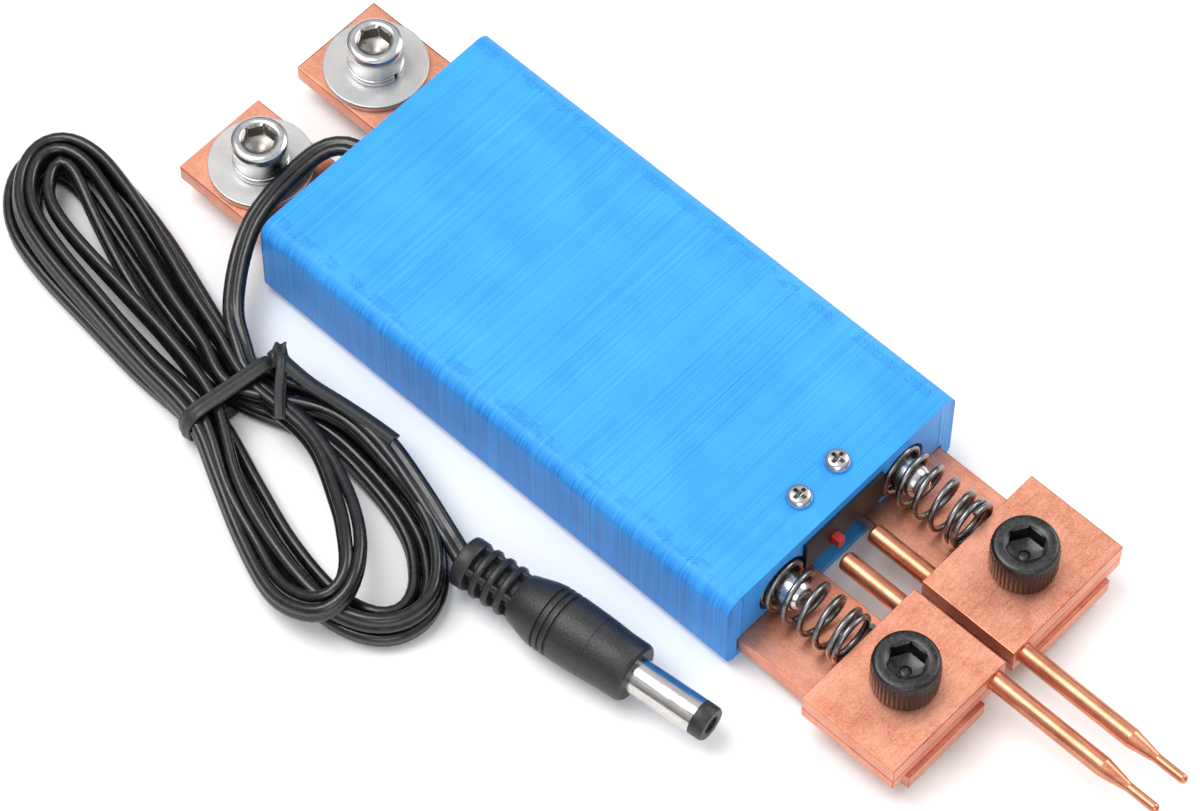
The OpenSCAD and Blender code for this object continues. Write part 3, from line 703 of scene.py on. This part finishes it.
def terminal_screw(side):
    """Polished cap screw with a drilled hexagon socket."""
    node = side + "_terminal_screw"
    x, y, _ = middle(node)
    head = 5.0
    seat = top(node) - head
    socket = hex_ring(2.25)
    rings = [(0, -5.4)]
    rings += rounds((2.3, -5.4), (2.45, -5.1), (2.45, 0.0), (4.0, 0.0), (4.14, 0.1), (4.14, 3.1),
                    (4.22, 3.25), (4.26, 3.5), (4.26, 4.2), (4.12, 4.66), (3.8, 4.92), (3.5, head),
                    (2.95, head), (2.72, head - 0.14))
    rings += [(socket, head - 0.45), (socket, 2.3)]
    rings += rounds((1.95, 2.2), (1.0, 1.75)) + [(0, 1.3)]
    piece = turned(side + "_terminal_screw_detail", rings, 120, (x, y, seat))
    dress(piece, "stainless", "steel", "pen_body", node)
    # the inside of the hexagon socket painted darker: painted shade in the recess
    paint_socket_shade(piece, x, y, 2.55, lambda face: face.center.z / MM > seat + 1)


def switch_screws():
    """Two pan heads with cross recesses, which hold the trigger switch."""
    low, high = box_mm("switch_screws")
    x = (low[0] + high[0]) / 2
    head = 1.3
    head_r = 2
    rings = [(0, -10.0)]
    rings += rounds((0.98, -10.0), (0.98, 0.0), (1.95, 0.0), (2.0, 0.15), (1.98, 0.5), (1.82, 0.86),
                    (1.55, 1.13), (1.25, head))
    rings += [(cross_ring(0.3, 1.12), head), (cross_ring(0.24, 0.85), 0.6), (0, 0.3)]
    for side, y, nodes in (("near", low[1] + head_r, ["switch_screws"]), ("far", high[1] - head_r, [])):
        piece = turned(side + "_switch_screw", rings, 96, (x, y, high[2] - head))
        dress(piece, "stainless", "steel", "pen_body", *nodes)
        # the floors of the cross recesses painted darker: painted shade in the recess
        paint_socket_shade(piece, x, y, 1.1,
                      lambda face: face.center.z / MM < high[2] - 0.05 and face.normal.z > 0.1)


def box_profile(wide, thin, corner):
    """A rectangle with rounded corners, as (along its width, across it)."""
    outline = []
    for cx, cy, first in ((1, 1, 0), (-1, 1, 90), (-1, -1, 180), (1, -1, 270)):
        for k in range(4):
            angle = math.radians(first + 30 * k)
            outline.append((cx * (wide / 2 - corner) + corner * math.cos(angle),
                            cy * (thin / 2 - corner) + corner * math.sin(angle)))
    return outline


def plug_mould():
    """Ribbed strain relief, cone, three grooves and the barrel's collar, with windows between the ribs."""
    turn = math.radians(6)
    direction = Vector((math.cos(turn), math.sin(turn), 0))
    start = Vector(tail_end)
    rib = 3.9
    core = 2.4
    rings = [(0, 0.0)]
    rings += rounds((3.3, 0.0), (3.8, 0.25), (rib, 0.6), (rib, 2.1), (3.75, 2.4), (core, 2.6))
    for i in range(3):
        base = 3.4 + 2.2 * i
        rings += rounds((core, base), (rib - 0.25, base + 0.1), (rib, base + 0.4), (rib, base + 0.9),
                        (rib - 0.25, base + 1.2), (core, base + 1.3))
    rings += rounds((core, 10.0), (3.55, 10.1), (3.8, 10.4), (4.25, 12.0), (4.8, 13.8), (5.02, 15.2))
    for i in range(3):
        base = 15.4 + 1.1 * i
        rings += rounds((5.05, base), (4.72, base + 0.18), (4.72, base + 0.42), (5.07, base + 0.6),
                        (5.07, base + 0.72))
    rings += rounds((5.03, 19.6), (4.9, 23.4), (4.82, 23.5), (4.82, 23.62), (4.88, 23.72), (4.62, 27.0),
                    (4.6, 29.9), (4.42, 30.35), (4.1, 30.6), (2.76, 30.6), (2.7, 28.0)) + [(0, 28.0)]
    piece = turned("plug_mould", rings, 72, start, direction)
    dress(piece, "plug", "black_rubber", "pen_body", "plug_body")
    across = Vector((0, 0, 1)).cross(direction)
    for i, round_axis in enumerate((45, 135, 225, 315)):
        out = Quaternion(direction, math.radians(round_axis)) @ across
        line = [start + direction * t + out * 2.85 for t in (1.8, 4.0, 6.2, 8.4, 10.6)]
        web = sweep(f"plug_web_{i}", line, box_profile(1.5, 1.0, 0.2), lambda k: 0.0, upright=tuple(out))
        dress(web, "plug", "black_rubber", "pen_body")
    tip_rings = rounds((2.7, 41.2), (2.72, 41.4), (2.72, 43.3), (2.5, 43.68), (1.55, 43.7), (1.38, 43.55),
                       (1.36, 40.0))
    tip = turned("plug_tip", tip_rings, 64, start, direction)
    dress(tip, "plug", "black_plastic", "pen_body", "plug_insulator")


for which in ("near", "far"):
    clamp_screw(which)
    terminal_screw(which)
switch_screws()
plug_mould()


# ---- springs and braids, in mm ----

def make_spring(side):
    """Round wire with closed coils at both ends."""
    low, high = box_mm(side + "_spring")
    _, y, z = middle(side + "_spring")
    wire = 0.5
    mean = (high[2] - low[2]) / 2 - wire
    turns = 6.9
    closed_back = 1.3
    closed_front = 1.7
    pitch = 2 * wire + 0.06
    length = high[0] - low[0] - 2 * wire
    open_pitch = (length - (closed_back + closed_front) * pitch) / (turns - closed_back - closed_front)
    first_angle = 0.6 if side == "near" else 2.3

    def rise(u):
        """How far the wire has come after u turns."""
        if u < closed_back:
            return u * pitch
        if u > turns - closed_front:
            return length - (turns - u) * pitch
        return closed_back * pitch + (u - closed_back) * open_pitch

    line = []
    steps = 36
    for k in range(int(turns * steps) + 1):
        u = k / steps
        eased = sum(rise(min(turns, max(0, u + d / 24))) for d in range(-3, 4)) / 7
        angle = 2 * math.pi * u + first_angle
        line.append(Vector((low[0] + wire + eased, y + mean * math.cos(angle), z + mean * math.sin(angle))))
    profile = [(wire * math.cos(math.pi * k / 6), wire * math.sin(math.pi * k / 6)) for k in range(12)]
    piece = sweep(side + "_spring_coil", line, profile, lambda i: 0.0, upright=(1, 0, 0))
    dress(piece, "spring", "dark_spring_steel", "pen_body", side + "_spring")
    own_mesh(piece)


def make_braid(side):
    """Flat woven copper strap from the fixed bar to the sliding bar."""
    low, high = box_mm(side + "_braid")
    y = (low[1] + high[1]) / 2
    shape = [(-13, 7.65), (-8, 7.65), (-5, 8.2), (-2.4, 9.9), (0, 10.5), (2.3, 9.3), (4.0, 6.8),
             (5.8, 5.4), (10, 5.33)]
    line = smooth_line([(x, y, z) for x, z in shape], 0.35)
    strands = 24
    width = high[1] - low[1]
    upper = [(width * (k / strands - 0.5), 0.42 + 0.16 * abs(math.sin(math.pi * k / 2)))
             for k in range(strands + 1)]
    profile = upper + [(a, -b) for a, b in reversed(upper)]
    piece = sweep(side + "_braid_strap", line, profile, lambda i: math.pi / 2)
    piece.data.materials.append(materials["braid"])
    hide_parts(side + "_braid")
    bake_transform(piece)


for which in ("near", "far"):
    make_spring(which)
    make_braid(which)


# ---- tie round the hank, in mm ----

def ribbed_profile(wide, thin):
    """A flat strip with a raised wire in its middle, as (along its width, across it)."""
    half = wide / 2
    upper = [(half, 0.1), (half * 0.9, thin * 0.26), (half * 0.62, thin * 0.3), (half * 0.42, thin * 0.34),
             (half * 0.26, thin * 0.48), (0, thin * 0.55)]
    upper += [(-a, b) for a, b in reversed(upper[:-1])]
    return upper + [(a, -b) for a, b in reversed(upper)]


def ribbon(name, points, wide, lie):
    """One loose end of the tie."""
    piece = sweep(name, smooth_line(points, 0.5), ribbed_profile(wide, 0.95), lie)
    dress(piece, "tie", "black_plastic", "pen_body")


def make_tie():
    """A flat tie with a ribbed back, twisted at the case's side, with a short and a long end."""
    low_v, high_v, top_z = -7.9, 8.5, 7.5
    low_r, top_r = 2.6, 2.8
    low_z = 2.95
    # the middle, radius and first angle of each rounded corner, across the hank
    corners = [(high_v - low_r, low_z, low_r, 270), (high_v - top_r, top_z - top_r, top_r, 0),
               (low_v + top_r, top_z - top_r, top_r, 90), (low_v + low_r, low_z, low_r, 180)]
    loop = []
    for v, z, radius, first in corners:
        for k in range(7):
            angle = math.radians(first + 15 * k)
            skew = 0.36 * math.sin(angle)
            loop.append(Vector(in_hank(skew, v + radius * math.cos(angle), z + radius * math.sin(angle))))
    band = []
    for a, b in zip(loop, loop[1:] + loop[:1]):
        parts = max(1, int((b - a).length / 0.8))
        band += [a + (b - a) * (k / parts) for k in range(parts)]
    along = (math.cos(HANK_TURN), math.sin(HANK_TURN), 0)
    ring = sweep("tie_band", band, ribbed_profile(2.5, 0.95), lambda i: 0.0, upright=along, closed=True)
    dress(ring, "tie", "black_plastic", "pen_body", "cord_tie")

    steps = 25
    for k, phase in enumerate((0.0, math.pi)):
        twist = []
        for i in range(steps + 1):
            t = i / steps
            angle = phase + t * 2.6 * math.pi
            twist.append(in_hank(0.7 + 0.75 * math.cos(angle), 7.6 + 2.2 * t,
                                 7.6 + 1.3 * t + 0.6 * math.sin(angle)))
        ribbon(f"tie_twist_{k}", twist, 1.7, lambda i: 0.3 * i)
    long_end = [(1.2, 8.6, 8.4), (4, 8.6, 8.9), (8, 9.4, 8.3), (13, 11.2, 7.4), (18, 12.6, 7.0),
                (22, 13.4, 6.9)]
    short_end = [(0.8, 9.2, 8.9), (2.6, 8.2, 9.4), (4.8, 6.2, 8.9), (7.0, 4.2, 8.0), (9.0, 2.7, 7.5)]
    ribbon("tie_end_long", [in_hank(*p) for p in long_end], 2.5, lambda i: 1.25)
    ribbon("tie_end_short", [in_hank(*p) for p in short_end], 1.9, lambda i: 0.9)


make_tie()


# ---- softened edges on the CAD pieces ----

def soften(nodes, width_mm, edge_slot=-1):
    """Bevelled edges, with the edge_slot material on them.

    The CAD meshes are split along their edges and cut into slivers, so they are first welded and
    their flat faces joined."""
    for node in nodes:
        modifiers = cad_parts[node].modifiers
        weld = modifiers.new("weld", "WELD")
        weld.merge_threshold = 0.001 * MM
        flat = modifiers.new("flat", "DECIMATE")
        flat.decimate_type = "DISSOLVE"
        flat.angle_limit = math.radians(0.5)
        bevel = modifiers.new("edge", "BEVEL")
        bevel.width = width_mm * MM
        bevel.segments = 2
        bevel.material = edge_slot
        bevel.limit_method = "ANGLE"
        bevel.angle_limit = math.radians(50)
        split = modifiers.new("sharp", "EDGE_SPLIT")
        split.split_angle = math.radians(30)


# the copper plates' bevels take slot 1, the darker copper: painted shade along their edges
soften(painted["copper_y"] + ["near_terminal_bar", "far_terminal_bar", "near_slide_bar", "far_slide_bar"],
       0.26, edge_slot=1)
soften(["near_washer", "far_washer", "near_lock_washer", "far_lock_washer"], 0.14)
soften(["case"], 0.18)
